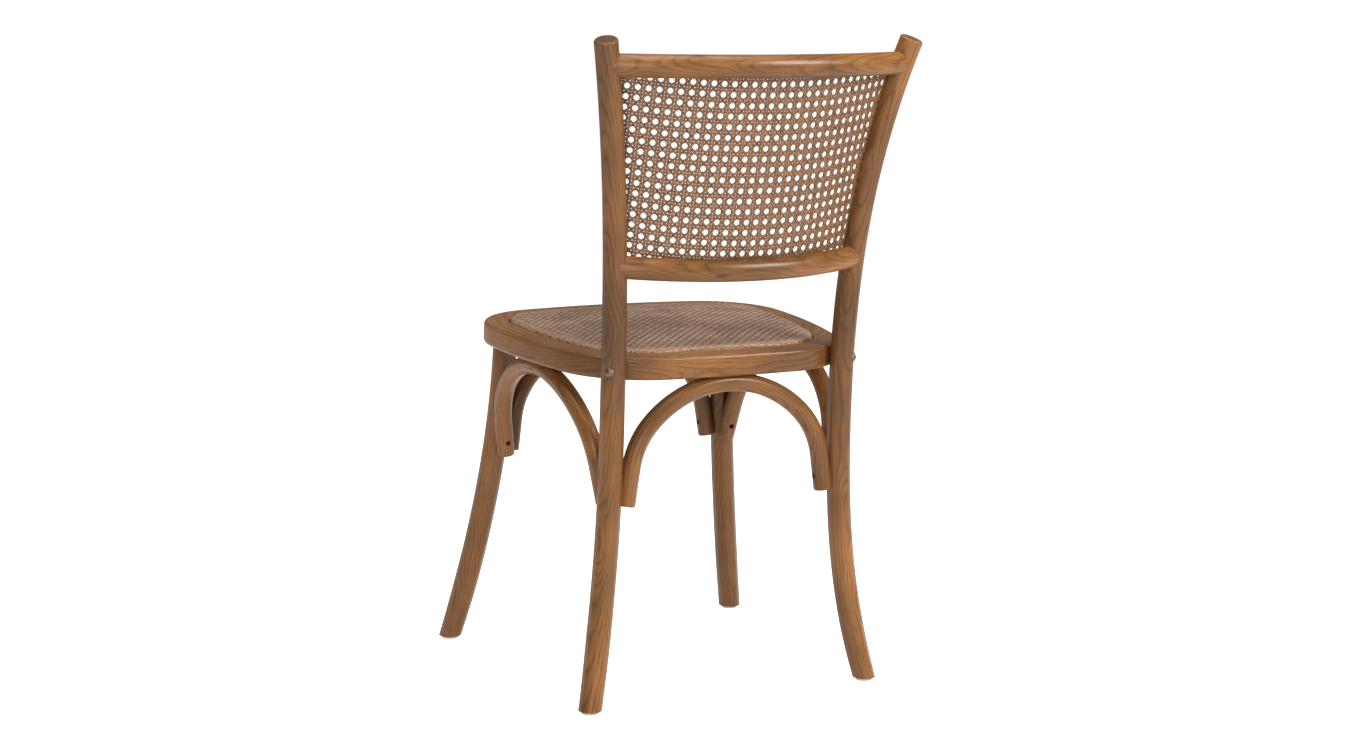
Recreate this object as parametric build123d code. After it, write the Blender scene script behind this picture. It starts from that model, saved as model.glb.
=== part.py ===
from build123d import *
from math import cos, radians, sin
import os

# Bentwood dining chair with a cane back and a woven rattan seat, in millimetres.
# +Z is up and the sitter faces -Y, so the sitter's left is +X.
# The origin is on the floor, under the middle of the chair's outline.

# Rear posts: one bent bar each from floor to top, soft octagon below and round above
POST_TOP = 880.0
POST_ACROSS = 30.0
POST_ARRIS = 1.6
POST_ROUND_ARRIS = 3.2
POST_ROUND_FROM = 520.0
POST_ROUND_TO = 690.0
POST_BEND = 2.4
POST_SECTIONS = 7
POST_TOP_EASE = 2.0
POST_WAIST_X = 171.0
POST_WAIST_X_HEIGHT = 391.0
POST_FOOT_SPLAY = 38.0
POST_TOP_SPLAY = 51.5
POST_WAIST_Y = 149.0
POST_WAIST_Y_HEIGHT = 274.0
POST_FOOT_SWEEP = 24.5
POST_TOP_RAKE = 76.0

# Front legs: sabre legs, bent outwards and forwards towards the floor
LEG_ACROSS = 30.5
LEG_ARRIS = 1.6
LEG_BEND = 1.8
LEG_SECTIONS = 5
LEG_TOP_X = 171.5
LEG_TOP_Y = -197.5
LEG_SPLAY = 57.5
LEG_SWEEP = 63.5
TENON_DIAMETER = 18.0
TENON_LENGTH = 20.0

# Seat ring: bent hoop with a rounded square outline, higher at the front
SEAT_HEIGHT = 470.0
SEAT_SLOPE = 2.0
RING_HEIGHT = 31.0
RING_WIDTH = 35.0
RING_HALF_WIDTH = 228.0
RING_REAR = 167.0
RING_FRONT = -238.0
RING_WIDEST_Y = -106.0
RING_SIDE_RADIUS = 774.0
RING_FRONT_RADIUS = 894.0
RING_REAR_RADIUS = 1500.0
RING_REAR_CORNER = 122.0
RING_FRONT_CORNER = 108.0
RING_EDGE = 3.0
LEDGE_WIDTH = 10.0
LEDGE_DEPTH = 12.0

# Seat: plywood board on the ring's ledge, under a crowned woven pad
SEAT_GAP = 1.5
BOARD_THICKNESS = 9.0
PAD_CROWN = 13.0
PAD_TUCK = 2.0
PAD_SHOULDER_WIDTH = 16.0
PAD_SHOULDER_DROP = 4.0
PAD_ROLL_WIDTH = 48.0
PAD_ROLL_DROP = 2.5

# Back rails, bowed backwards between the posts, and the cane panel in their grooves
RAIL_ACROSS = 27.5
RAIL_ARRIS = 2.95
RAIL_SETBACK = 1.0
TOP_RAIL_Z = 845.0
TOP_RAIL_BOW = 55.0
TOP_RAIL_DIP = 0.0
LOWER_RAIL_Z = 583.0
LOWER_RAIL_BOW = 44.5
LOWER_RAIL_DIP = 4.0
PANEL_THICKNESS = 3.0
PANEL_SECTIONS = 2
PANEL_COLUMNS = 12
PANEL_ROWS = 8
WEAVE_BAND = 13.5
GROOVE_DEPTH = 6.0
DOWEL_DIAMETER = 10.0
DOWEL_LENGTH = 36.0
DOWEL_IN_POST = 14.0

# Bentwood arches under the ring, one on each side
ARCH_DROP = 166.0
ARCH_ACROSS = 22.5
ARCH_CROWN_TURN = 45.0
ARCH_SHOULDER_RADIUS = 110.0
ARCH_LIMB_LEAN = 8.0
ARCH_FLAT = 1.0
ARCH_BITE = 1.5

# Screws through the arches, into the legs at the ends and into the ring on top
SCREW_RISE = 20.0
SCREW_SHANK = 4.0
SCREW_HEAD = 7.0
SCREW_HEAD_HEIGHT = 2.6
SCREW_SINK = 8.0
END_SCREW_LENGTH = 38.0
TOP_SCREW_LENGTH = 32.0
BOARD_SCREW_LENGTH = 22.0
BOARD_SCREW_SINK = 4.0

# Bolts that clamp the posts to the ring's rear corners
BOLT_DROP = 18.8
BOLT_SHANK = 6.0
BOLT_HEAD = 13.0
BOLT_HEAD_HEIGHT = 4.5
BOLT_DOME_TOP = 8.0
SPOT_FACE_DEPTH = 1.0
CLAMPED_WALL = 36.0
POCKET_DIAMETER = 13.0
WASHER_DIAMETER = 12.0
WASHER_THICKNESS = 1.5
NUT_ACROSS = 10.0
NUT_HEIGHT = 5.0
BOLT_PAST_NUT = 2.0

# Nail glides under the feet
GLIDE_DIAMETER = 22.0
GLIDE_HEIGHT = 4.0
GLIDE_EDGE = 1.2
NAIL_DIAMETER = 2.4
NAIL_LENGTH = 18.0
NAIL_HEAD_DIAMETER = 7.0
NAIL_HEAD_HEIGHT = 1.2
NAIL_HEAD_SINK = 1.0

# Flats on every small turned piece, and on the bore that takes it
ROD_SIDES = 8

# Clearances
SCRIBE_GAP = 0.3
HOLE_GAP = 0.2
PANEL_GAP = 0.3

seat_plane = Plane(
    origin=(0, 0, SEAT_HEIGHT),
    x_dir=(1, 0, 0),
    z_dir=(0, sin(radians(SEAT_SLOPE)), cos(radians(SEAT_SLOPE))),
)
ring_underside = seat_plane.offset(-RING_HEIGHT)


def eased(start, reach, power):
    """Share of a bend that is reached at a distance from where it starts."""
    return (max(start, 0.0) / reach) ** power


def post_centre(z):
    """Centre line of the left rear post at a height."""
    foot_x = eased(POST_WAIST_X_HEIGHT - z, POST_WAIST_X_HEIGHT, POST_BEND)
    top_x = eased(z - POST_WAIST_X_HEIGHT, POST_TOP - POST_WAIST_X_HEIGHT, POST_BEND)
    foot_y = eased(POST_WAIST_Y_HEIGHT - z, POST_WAIST_Y_HEIGHT, POST_BEND)
    top_y = eased(z - POST_WAIST_Y_HEIGHT, POST_TOP - POST_WAIST_Y_HEIGHT, POST_BEND)
    return Vector(
        POST_WAIST_X + POST_FOOT_SPLAY * foot_x + POST_TOP_SPLAY * top_x,
        POST_WAIST_Y + POST_FOOT_SWEEP * foot_y + POST_TOP_RAKE * top_y,
        z,
    )


def post_arris(z):
    """Width planed off the post's arrises, which grows until the bar is round."""
    share = (z - POST_ROUND_FROM) / (POST_ROUND_TO - POST_ROUND_FROM)
    return POST_ARRIS + min(max(share, 0.0), 1.0) * (POST_ROUND_ARRIS - POST_ARRIS)


def leg_centre(z):
    """Centre line of the left front leg at a height."""
    bend = eased(SEAT_HEIGHT - z, SEAT_HEIGHT, LEG_BEND)
    return Vector(LEG_TOP_X + LEG_SPLAY * bend, LEG_TOP_Y - LEG_SWEEP * bend, z)


def leg_arris(z):
    """Width planed off the front leg's arrises, the same from floor to seat."""
    return LEG_ARRIS


def octagon(across):
    """Octagon with flats towards the axes."""
    return RegularPolygon(across / 2, 8, major_radius=False, rotation=22.5)


def soft_octagon(across, arris):
    """Octagon with flats towards the axes and its arrises planed off."""
    return chamfer(octagon(across).vertices(), arris)


def bar_section(centre, arris, across, z):
    """Section of a bent bar at a height, square to its centre line."""
    along = centre(z + 1.0) - centre(z - 1.0)
    place = Plane(origin=centre(z), x_dir=(along.Z, 0, -along.X), z_dir=along)
    return place * soft_octagon(across, arris(z))


def bent_bar(centre, arris, across, foot, top, sections):
    """Bar along a centre line, from a flat foot to a square top."""
    step = (top - foot) / sections
    profiles = [Pos(centre(foot)) * soft_octagon(across, arris(foot))]
    for number in range(1, sections + 1):
        profiles.append(bar_section(centre, arris, across, foot + step * number))
    return loft(profiles)


def post_bar(grow=0.0):
    """Left rear post before any boring, grown all round if asked."""
    across = POST_ACROSS + 2 * grow
    rim = POST_TOP - POST_TOP_EASE
    bar = bent_bar(post_centre, post_arris, across, GLIDE_HEIGHT, rim, POST_SECTIONS)
    eased_top = bar_section(post_centre, post_arris, across - 2 * POST_TOP_EASE, POST_TOP)
    return bar + loft([bar_section(post_centre, post_arris, across, rim), eased_top], ruled=True)


def leg_bar(grow=0.0):
    """Left front leg before any boring, longer than needed at the top."""
    across = LEG_ACROSS + 2 * grow
    return bent_bar(leg_centre, leg_arris, across, GLIDE_HEIGHT, SEAT_HEIGHT, LEG_SECTIONS)


def both_sides(shape):
    """A left-hand shape with its mirror image on the right."""
    return [shape, mirror(shape, about=Plane.YZ)]


def mirrored(point):
    """The same point on the other side of the chair."""
    return Vector(-point.X, point.Y, point.Z)


def rod(start, direction, diameter, length):
    """Turned bar from a point along a direction."""
    return extrude(Plane(origin=start, z_dir=direction) * RegularPolygon(diameter / 2, ROD_SIDES), length)


def screw(start, direction, length):
    """Pan-head wood screw whose head's outer face is at the start."""
    head = rod(start, direction, SCREW_HEAD, SCREW_HEAD_HEIGHT)
    return head + rod(start, direction, SCREW_SHANK, length)


def screw_bore(start, direction, length, sink):
    """Bore for a screw with a sunk head, open towards the driver."""
    shank = rod(start, direction, SCREW_SHANK + 2 * HOLE_GAP, length + 2 * HOLE_GAP)
    mouth = start - direction * (sink + SCREW_HEAD)
    bore = SCREW_HEAD + 2 * HOLE_GAP
    return shank + rod(mouth, direction, bore, sink + SCREW_HEAD + SCREW_HEAD_HEIGHT)


def seat_outline(inset):
    """Outline of the seat, drawn in from the ring's outer edge, in the seat's own plane."""
    side_x = RING_HALF_WIDTH - RING_SIDE_RADIUS
    side = Circle(RING_SIDE_RADIUS - inset)
    outline = Pos(0, RING_REAR - RING_REAR_RADIUS) * Circle(RING_REAR_RADIUS - inset)
    outline &= Pos(0, RING_FRONT + RING_FRONT_RADIUS) * Circle(RING_FRONT_RADIUS - inset)
    outline &= Pos(side_x, RING_WIDEST_Y) * side
    outline &= Pos(-side_x, RING_WIDEST_Y) * side
    outline = fillet(outline.vertices().sort_by(Axis.Y)[-2:], RING_REAR_CORNER - inset)
    return fillet(outline.vertices().sort_by(Axis.Y)[:2], RING_FRONT_CORNER - inset)


def rail_points(z, bow, dip):
    """End at the left post and middle of a back rail's centre line."""
    end = post_centre(z) + Vector(0, RAIL_SETBACK, 0)
    return end, Vector(0, end.Y + bow, z - dip)


top_end, top_middle = rail_points(TOP_RAIL_Z, TOP_RAIL_BOW, TOP_RAIL_DIP)
lower_end, lower_middle = rail_points(LOWER_RAIL_Z, LOWER_RAIL_BOW, LOWER_RAIL_DIP)


def bowed_arc(end, middle):
    """Arc from the left post to the right one through a middle point."""
    return ThreePointArc(end, middle, (-end.X, end.Y, end.Z))


def rail_bar(end, middle):
    """Back rail along its arc, before its ends are scribed to the posts."""
    arc = bowed_arc(end, middle)
    place = Plane(origin=arc @ 0, x_dir=(0, 0, 1), z_dir=arc % 0)
    return sweep(place * soft_octagon(RAIL_ACROSS, RAIL_ARRIS), path=arc)


def sheet_arc(z):
    """Line of the cane sheet from post to post, at a height on the posts."""
    share = (z - LOWER_RAIL_Z) / (TOP_RAIL_Z - LOWER_RAIL_Z)
    return bowed_arc(post_centre(z), lower_middle + (top_middle - lower_middle) * share)


def column_edges(arc, edge_depth):
    """Points between the sheet's columns along one of its lines, from edge to edge."""
    start = (POST_ACROSS / 2 - edge_depth) / arc.length
    step = (1 - 2 * start) / PANEL_COLUMNS
    return [arc @ (start + step * column) for column in range(PANEL_COLUMNS + 1)]


def back_sheet(thickness, edge_depth):
    """Curved sheet between the rails and the posts, reaching into each by a depth."""
    inset = RAIL_ACROSS / 2 - edge_depth
    step = (TOP_RAIL_Z - LOWER_RAIL_Z - 2 * inset) / PANEL_SECTIONS
    faces = []
    for number in range(PANEL_SECTIONS + 1):
        arc = sheet_arc(LOWER_RAIL_Z + inset + step * number)
        half = (arc @ 0.5 - (arc @ 0 + arc @ 1) / 2).normalized() * (thickness / 2)
        edges = column_edges(arc, edge_depth)
        front = [point - half for point in edges]
        rear = [point + half for point in reversed(edges)]
        faces.append(make_face(Polyline(*front, *rear, close=True)))
    return loft(faces, ruled=True)


def weave_openings():
    """Cutters for the grid of openings that stands for the cane's open weave."""
    foot = LOWER_RAIL_Z + RAIL_ACROSS / 2
    pitch = (TOP_RAIL_Z - LOWER_RAIL_Z - RAIL_ACROSS) / PANEL_ROWS
    rake = top_middle - lower_middle
    cutters = []
    for row in range(PANEL_ROWS):
        edges = column_edges(sheet_arc(foot + pitch * (row + 0.5)), 0.0)
        for left, right in zip(edges, edges[1:]):
            across = right - left
            place = Plane(origin=(left + right) / 2, x_dir=across, z_dir=across.cross(rake))
            opening = Rectangle(across.length - WEAVE_BAND, pitch - WEAVE_BAND)
            cutters.append(extrude(place * opening, PANEL_THICKNESS, both=True))
    return cutters


def rail_dowel(end, middle, gap):
    """Dowel from a rail's left end into the post, grown by a gap for its hole."""
    arc = bowed_arc(end, middle)
    along = arc % 0
    skin = POST_ACROSS / 2
    start = end + along * (skin - DOWEL_IN_POST - gap)
    return rod(start, along, DOWEL_DIAMETER + 2 * gap, DOWEL_LENGTH + 2 * gap)


def arch_frame(first, second, apex):
    """Plane of an arch in the seat's frame, with its origin between the two ends."""
    along = (second - first).normalized()
    middle = (first + second) / 2
    up = apex - middle
    up = (up - along * up.dot(along)).normalized()
    return Plane(origin=middle, x_dir=along, z_dir=along.cross(up)), up


def arch_path(half_span, drop):
    """Centre line of an arch: a wide crown, two tighter shoulders and leaning limbs."""
    lean = radians(ARCH_LIMB_LEAN)
    turn = radians(ARCH_CROWN_TURN)
    across = half_span - ARCH_SHOULDER_RADIUS * cos(lean)
    down = drop - ARCH_SHOULDER_RADIUS * (1 - sin(lean))
    spread = across * cos(lean) - down * sin(lean)
    spread /= sin(turn) * cos(lean) - (1 - cos(turn)) * sin(lean)
    crown_radius = ARCH_SHOULDER_RADIUS + spread
    hub = Vector(spread * sin(turn), drop - crown_radius + spread * cos(turn))

    def shoulder(angle):
        return hub + Vector(sin(angle), cos(angle)) * ARCH_SHOULDER_RADIUS

    limb_turn = radians(90) - lean
    first, bend, last = shoulder(turn), shoulder((turn + limb_turn) / 2), shoulder(limb_turn)
    return Wire([
        Line((-half_span, 0), mirrored(last)),
        ThreePointArc(mirrored(last), mirrored(bend), mirrored(first)),
        ThreePointArc(mirrored(first), (0, drop), first),
        ThreePointArc(first, bend, last),
        Line(last, (half_span, 0)),
    ])


def in_seat(centre):
    """Point of a leg's centre line at the arches' ends, in the seat's frame."""
    low = seat_plane.from_local_coords((0, centre(SEAT_HEIGHT).Y, -RING_HEIGHT - ARCH_DROP)).Z
    return seat_plane.to_local_coords(centre(low))


def arch_parts(first, first_across, second, second_across, apex_x, apex_y):
    """An arch between two legs, its end screws and top screw, and the bores for them."""
    crown = -RING_HEIGHT + ARCH_FLAT - ARCH_ACROSS / 2
    frame, up = arch_frame(first, second, Vector(apex_x, apex_y, crown))
    half_span = (second - first).length / 2 - ARCH_ACROSS / 2 + ARCH_BITE
    half_span -= (first_across + second_across) / 4
    drop = (crown - frame.origin.Z) / up.Z
    path = arch_path(half_span, drop)
    start = Plane(origin=path @ 0, x_dir=(0, 0, 1), z_dir=path % 0)
    bar = sweep(start * octagon(ARCH_ACROSS), path=path)
    bar = seat_plane * frame * bar
    bar = split(bar, bisect_by=ring_underside, keep=Keep.BOTTOM)
    screws, bores = [], []
    rise_x = half_span - SCREW_RISE * sin(radians(ARCH_LIMB_LEAN))
    inner_x = rise_x - ARCH_ACROSS / 2 + SCREW_SINK
    for side in (-1, 1):
        head = seat_plane * frame * Pos(side * inner_x, SCREW_RISE, 0)
        outwards = frame.x_dir * side
        outwards = seat_plane.from_local_coords(outwards) - seat_plane.origin
        screws.append(screw(head.position, outwards, END_SCREW_LENGTH))
        bores.append(screw_bore(head.position, outwards, END_SCREW_LENGTH, SCREW_SINK))
    lift = seat_plane.z_dir
    under = seat_plane * frame * Pos(0, drop, 0)
    under = under.position - lift * (ARCH_ACROSS / 2 - SCREW_SINK)
    top_screw = screw(under, lift, TOP_SCREW_LENGTH)
    top_bore = screw_bore(under, lift, TOP_SCREW_LENGTH, SCREW_SINK)
    return bar, screws, bores, top_screw, top_bore


# Posts, legs and the shapes that scribe other pieces to them
post = post_bar()
leg = split(leg_bar(), bisect_by=ring_underside, keep=Keep.BOTTOM)
post_scribes = both_sides(post_bar(SCRIBE_GAP))
leg_scribes = both_sides(leg_bar(SCRIBE_GAP))

# Arches with their screws
post_end = in_seat(post_centre)
leg_end = in_seat(leg_centre)
side_y = (post_end.Y + leg_end.Y) / 2
side_x = RING_HALF_WIDTH - RING_SIDE_RADIUS
side_x += (RING_SIDE_RADIUS**2 - (side_y - RING_WIDEST_Y) ** 2) ** 0.5
mid_ring = RING_WIDTH / 2
left_site = (leg_end, LEG_ACROSS, post_end, POST_ACROSS, side_x - mid_ring, side_y)
right_site = (mirrored(leg_end), LEG_ACROSS, mirrored(post_end), POST_ACROSS, mid_ring - side_x, side_y)
rear_site = (mirrored(post_end), POST_ACROSS, post_end, POST_ACROSS, 0, RING_REAR - mid_ring)
front_site = (mirrored(leg_end), LEG_ACROSS, leg_end, LEG_ACROSS, 0, RING_FRONT + mid_ring)
arches = {
    "left_arch": (left_site, [leg_scribes[0], post_scribes[0]]),
    "right_arch": (right_site, [leg_scribes[1], post_scribes[1]]),
    "rear_arch": (rear_site, post_scribes),
    "front_arch": (front_site, leg_scribes),
}
nodes = {}
end_screws, end_bores, top_screws, top_bores = [], [], [], []
for name, (site, scribes) in arches.items():
    bar, screws, bores, top_screw, top_bore = arch_parts(*site)
    nodes[name] = bar - scribes - bores - top_bore
    end_screws += screws
    end_bores += bores
    top_screws.append(top_screw)
    top_bores.append(top_bore)

# Bolts through the posts' rear outer flats into the ring's corners
bolt_y = post_centre(SEAT_HEIGHT).Y
bolt_site = post_centre(seat_plane.from_local_coords((0, bolt_y, -BOLT_DROP)).Z)
inwards = Vector(-1, -1, 0).normalized()
flat = bolt_site - inwards * (POST_ACROSS / 2 - SPOT_FACE_DEPTH)
clamp_end = bolt_site + inwards * (POST_ACROSS / 2 + CLAMPED_WALL)
bolt_length = (clamp_end - flat).length + WASHER_THICKNESS + NUT_HEIGHT + BOLT_PAST_NUT
dome = loft([
    Plane(origin=flat, z_dir=-inwards) * RegularPolygon(BOLT_HEAD / 2, ROD_SIDES),
    Plane(origin=flat - inwards * BOLT_HEAD_HEIGHT, z_dir=-inwards)
    * RegularPolygon(BOLT_DOME_TOP / 2, ROD_SIDES),
], ruled=True)
bolt = dome + rod(flat, inwards, BOLT_SHANK, bolt_length)
washer = rod(clamp_end, inwards, WASHER_DIAMETER, WASHER_THICKNESS)
nut_seat = clamp_end + inwards * WASHER_THICKNESS
nut = extrude(
    Plane(origin=nut_seat, z_dir=inwards) * RegularPolygon(NUT_ACROSS / 2, 6, major_radius=False),
    NUT_HEIGHT,
)
bolt_bore = rod(flat, inwards, BOLT_SHANK + 2 * HOLE_GAP, bolt_length)
spot_face = rod(flat, -inwards, BOLT_HEAD + 2 * SCRIBE_GAP, BOLT_HEAD_HEIGHT)
pocket = rod(clamp_end, inwards, POCKET_DIAMETER, RING_WIDTH + LEDGE_WIDTH)
nodes["seat_bolts"] = Compound(both_sides(bolt))
nodes["seat_bolt_washers"] = Compound(both_sides(washer - bolt_bore))
nodes["seat_bolt_nuts"] = Compound(both_sides(nut - bolt_bore))

# Seat ring with its rebate, the tenon holes and the notches for the posts
ledge_inset = RING_WIDTH + LEDGE_WIDTH
hoop = extrude(seat_outline(0), -RING_HEIGHT)
hoop = chamfer(hoop.edges().group_by(Axis.Z)[-1], RING_EDGE)
hoop -= extrude(seat_outline(RING_WIDTH), -LEDGE_DEPTH)
hoop -= extrude(seat_outline(ledge_inset), -RING_HEIGHT)
tenon_site = seat_plane.to_local_coords(leg_centre(SEAT_HEIGHT))
tenon_foot = Vector(tenon_site.X, tenon_site.Y, -RING_HEIGHT)
tenon = rod(tenon_foot, Vector(0, 0, 1), TENON_DIAMETER, TENON_LENGTH)
tenon_hole = rod(
    tenon_foot, Vector(0, 0, 1), TENON_DIAMETER + 2 * SCRIBE_GAP, TENON_LENGTH + SCRIBE_GAP
)
hoop = seat_plane * (hoop - both_sides(tenon_hole))
hoop -= post_scribes + both_sides(bolt_bore) + both_sides(pocket) + top_bores

# Seat board, its screws up through the ledge, and the crowned woven pad
board = extrude(Pos(0, 0, -LEDGE_DEPTH) * seat_outline(RING_WIDTH + SEAT_GAP), BOARD_THICKNESS)
ledge_middle = RING_WIDTH + LEDGE_WIDTH / 2
board_sites = [
    (0, RING_REAR - ledge_middle),
    (0, RING_FRONT + ledge_middle),
    (RING_HALF_WIDTH - ledge_middle, RING_WIDEST_Y),
    (ledge_middle - RING_HALF_WIDTH, RING_WIDEST_Y),
]
board_screws, board_bores = [], []
up = Vector(0, 0, 1)
for x, y in board_sites:
    start = Vector(x, y, BOARD_SCREW_SINK - RING_HEIGHT)
    board_screws.append(screw(start, up, BOARD_SCREW_LENGTH))
    board_bores.append(screw_bore(start, up, BOARD_SCREW_LENGTH, BOARD_SCREW_SINK))
pad_place = Pos(0, 0, BOARD_THICKNESS - LEDGE_DEPTH)
pad = extrude(pad_place * seat_outline(RING_WIDTH + SEAT_GAP), PAD_CROWN)
pad = chamfer(pad.faces().sort_by(Axis.Z)[0].edges(), PAD_TUCK)
for width, drop in ((PAD_SHOULDER_WIDTH, PAD_SHOULDER_DROP), (PAD_ROLL_WIDTH, PAD_ROLL_DROP)):
    crown = pad.faces().sort_by(Axis.Z)[-1]
    pad = chamfer(crown.edges(), length=width, length2=drop, reference=crown)
nodes["seat_ring"] = hoop - [seat_plane * bore for bore in board_bores]
nodes["seat_board"] = seat_plane * (board - board_bores)
nodes["woven_seat"] = seat_plane * pad
nodes["seat_board_screws"] = Compound([seat_plane * one for one in board_screws])

# Back rails and dowels, with the cane panel held in grooves all round
groove = back_sheet(PANEL_THICKNESS + 2 * PANEL_GAP, GROOVE_DEPTH + PANEL_GAP)
rails = {
    "back_top_rail": (top_end, top_middle),
    "back_lower_rail": (lower_end, lower_middle),
}
rail_dowels, dowel_holes = [], []
for name, line in rails.items():
    holes = both_sides(rail_dowel(*line, HOLE_GAP))
    nodes[name] = rail_bar(*line) - post_scribes - holes - groove
    rail_dowels += both_sides(rail_dowel(*line, 0.0))
    dowel_holes.append(holes[0])
nodes["cane_panel"] = back_sheet(PANEL_THICKNESS, GROOVE_DEPTH) - weave_openings()
nodes["rail_dowels"] = Compound(rail_dowels)

# Glides and their nails under all four feet
glide_sites = {
    "rear_left": post_centre(GLIDE_HEIGHT),
    "rear_right": mirrored(post_centre(GLIDE_HEIGHT)),
    "front_left": leg_centre(GLIDE_HEIGHT),
    "front_right": mirrored(leg_centre(GLIDE_HEIGHT)),
}
glide = rod(Vector(), up, GLIDE_DIAMETER, GLIDE_HEIGHT)
glide = chamfer(glide.faces().sort_by(Axis.Z)[0].edges(), GLIDE_EDGE)
nail_head = Vector(0, 0, NAIL_HEAD_SINK)
nail = rod(nail_head, up, NAIL_HEAD_DIAMETER, NAIL_HEAD_HEIGHT)
nail += rod(nail_head, up, NAIL_DIAMETER, NAIL_LENGTH)
nail_bore = rod(nail_head, up, NAIL_DIAMETER + 2 * HOLE_GAP, NAIL_LENGTH + HOLE_GAP)
head_bore = rod(Vector(), up, NAIL_HEAD_DIAMETER + 2 * HOLE_GAP, NAIL_HEAD_SINK + NAIL_HEAD_HEIGHT)
nail_bores = []
nails = []
for corner, site in glide_sites.items():
    place = Pos(site.X, site.Y, 0)
    nodes["glide_" + corner] = place * (glide - nail_bore - head_bore)
    nails.append(place * nail)
    nail_bores.append(place * nail_bore)
nodes["glide_nails"] = Compound(nails)

# Bored posts and legs
left_bores = [bore for bore in end_bores + nail_bores if bore.center().X > 0]
rear_bores = [bore for bore in left_bores if bore.center().Y > 0]
front_bores = [bore for bore in left_bores if bore.center().Y < 0]
left_post = post - rear_bores - dowel_holes - [bolt_bore, spot_face, groove]
left_leg = leg + seat_plane * tenon - front_bores
nodes["rear_post_left"], nodes["rear_post_right"] = both_sides(left_post)
nodes["front_leg_left"], nodes["front_leg_right"] = both_sides(left_leg)
nodes["arch_end_screws"] = Compound(end_screws)
nodes["arch_top_screws"] = Compound(top_screws)

box = Compound(list(nodes.values())).bounding_box()
centred = Pos(0, -(box.min.Y + box.max.Y) / 2, 0)
os.makedirs("parts", exist_ok=True)
for name, shape in nodes.items():
    export_step(centred * shape, f"parts/{name}.step")
print("size", box.size, "moved", centred.position)
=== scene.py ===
import bmesh
import bpy
from math import asin, atan2, cos, exp, hypot, pi, radians, sin, sqrt
from mathutils import Matrix, Vector


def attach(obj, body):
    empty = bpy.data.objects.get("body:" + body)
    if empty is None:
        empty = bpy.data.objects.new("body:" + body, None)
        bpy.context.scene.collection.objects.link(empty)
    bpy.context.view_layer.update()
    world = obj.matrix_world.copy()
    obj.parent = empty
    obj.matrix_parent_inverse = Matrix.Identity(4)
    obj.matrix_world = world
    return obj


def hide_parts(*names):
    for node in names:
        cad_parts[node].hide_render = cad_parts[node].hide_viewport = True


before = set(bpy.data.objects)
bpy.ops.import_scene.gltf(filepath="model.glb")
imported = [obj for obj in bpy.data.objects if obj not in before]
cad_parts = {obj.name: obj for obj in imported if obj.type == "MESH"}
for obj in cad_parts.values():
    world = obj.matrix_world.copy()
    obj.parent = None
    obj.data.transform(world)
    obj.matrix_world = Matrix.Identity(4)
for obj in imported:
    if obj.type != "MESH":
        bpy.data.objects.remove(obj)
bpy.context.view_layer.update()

# Rear posts: one steamed hardwood bar each, bent from a splayed foot past the seat to a raked top.
# The bar is planed to a soft octagon as far as the seat and sanded round above it.
# Its top is cut square, eased all round and stained darker on the end grain.
bar_sides, easing_steps, weld_reach, end_reach, arris_angle = 48, 4, 1e-5, 1e-6, radians(42)


def straight_blank(name, across, length, cuts):
    """Straight round blank that stands on the origin, cut into rings along its length."""
    bpy.ops.object.select_all(action="DESELECT")
    bpy.ops.mesh.primitive_cylinder_add(
        vertices=bar_sides, radius=across / 2, depth=length, location=(0, 0, length / 2)
    )
    blank = bpy.context.object
    blank.name = blank.data.name = name
    bpy.ops.object.transform_apply(location=True, rotation=True, scale=True)
    bpy.ops.object.mode_set(mode="EDIT")
    bpy.ops.mesh.select_mode(type="EDGE")
    bpy.ops.mesh.select_all(action="DESELECT")
    mesh = bmesh.from_edit_mesh(blank.data)
    for edge in mesh.edges:
        edge.select_set(abs(edge.verts[0].co.z - edge.verts[1].co.z) > length / 2)
    bmesh.update_edit_mesh(blank.data)
    bpy.ops.mesh.subdivide(number_cuts=cuts)
    bpy.ops.object.mode_set(mode="OBJECT")
    return blank


def ease_end(blank, height, width):
    """Rounds the edge round one end of a straight blank."""
    bpy.ops.object.mode_set(mode="EDIT")
    bpy.ops.mesh.select_mode(type="EDGE")
    bpy.ops.mesh.select_all(action="DESELECT")
    mesh = bmesh.from_edit_mesh(blank.data)
    for edge in mesh.edges:
        edge.select_set(all(abs(corner.co.z - height) < end_reach for corner in edge.verts))
    bmesh.update_edit_mesh(blank.data)
    bpy.ops.mesh.bevel(offset=width, segments=easing_steps, affect="EDGES")
    bpy.ops.object.mode_set(mode="OBJECT")


def face_outwards(weld=0):
    """Turns the active piece's faces outwards, after welding points closer than the weld."""
    bpy.ops.object.mode_set(mode="EDIT")
    bpy.ops.mesh.select_all(action="SELECT")
    if weld:
        bpy.ops.mesh.remove_doubles(threshold=weld)
    bpy.ops.mesh.normals_make_consistent(inside=False)
    bpy.ops.object.mode_set(mode="OBJECT")


def bend_blank(blank, place, board, stain):
    """Marks every point with its place in the straight wood and its stain value, partly stain and partly
    painted shade, then bends the blank.
    """
    grain = blank.data.attributes.new("grain", "FLOAT_VECTOR", "POINT")
    for vertex in blank.data.vertices:
        grain.data[vertex.index].vector = vertex.co + Vector(board)
    depth = blank.data.attributes.new("stain", "FLOAT", "POINT")
    for vertex in blank.data.vertices:
        depth.data[vertex.index].value = stain(vertex.co.z)
        vertex.co = place(vertex.co)
    bpy.ops.object.select_all(action="DESELECT")
    blank.select_set(True)
    bpy.context.view_layer.objects.active = blank
    face_outwards(weld_reach)
    bpy.ops.object.shade_smooth_by_angle(angle=arris_angle)


def planed(point, arris):
    """Growth of a round section towards an octagon whose arrises are planed off."""
    turn = atan2(point.y, point.x)
    off_flat = (turn + pi / 8) % (pi / 4) - pi / 8
    return min(1 / cos(off_flat), 1 + arris)


foot_height, foot_length, bar_swell, slope_step = 0.004, 0.09, 0.04, 0.001


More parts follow.
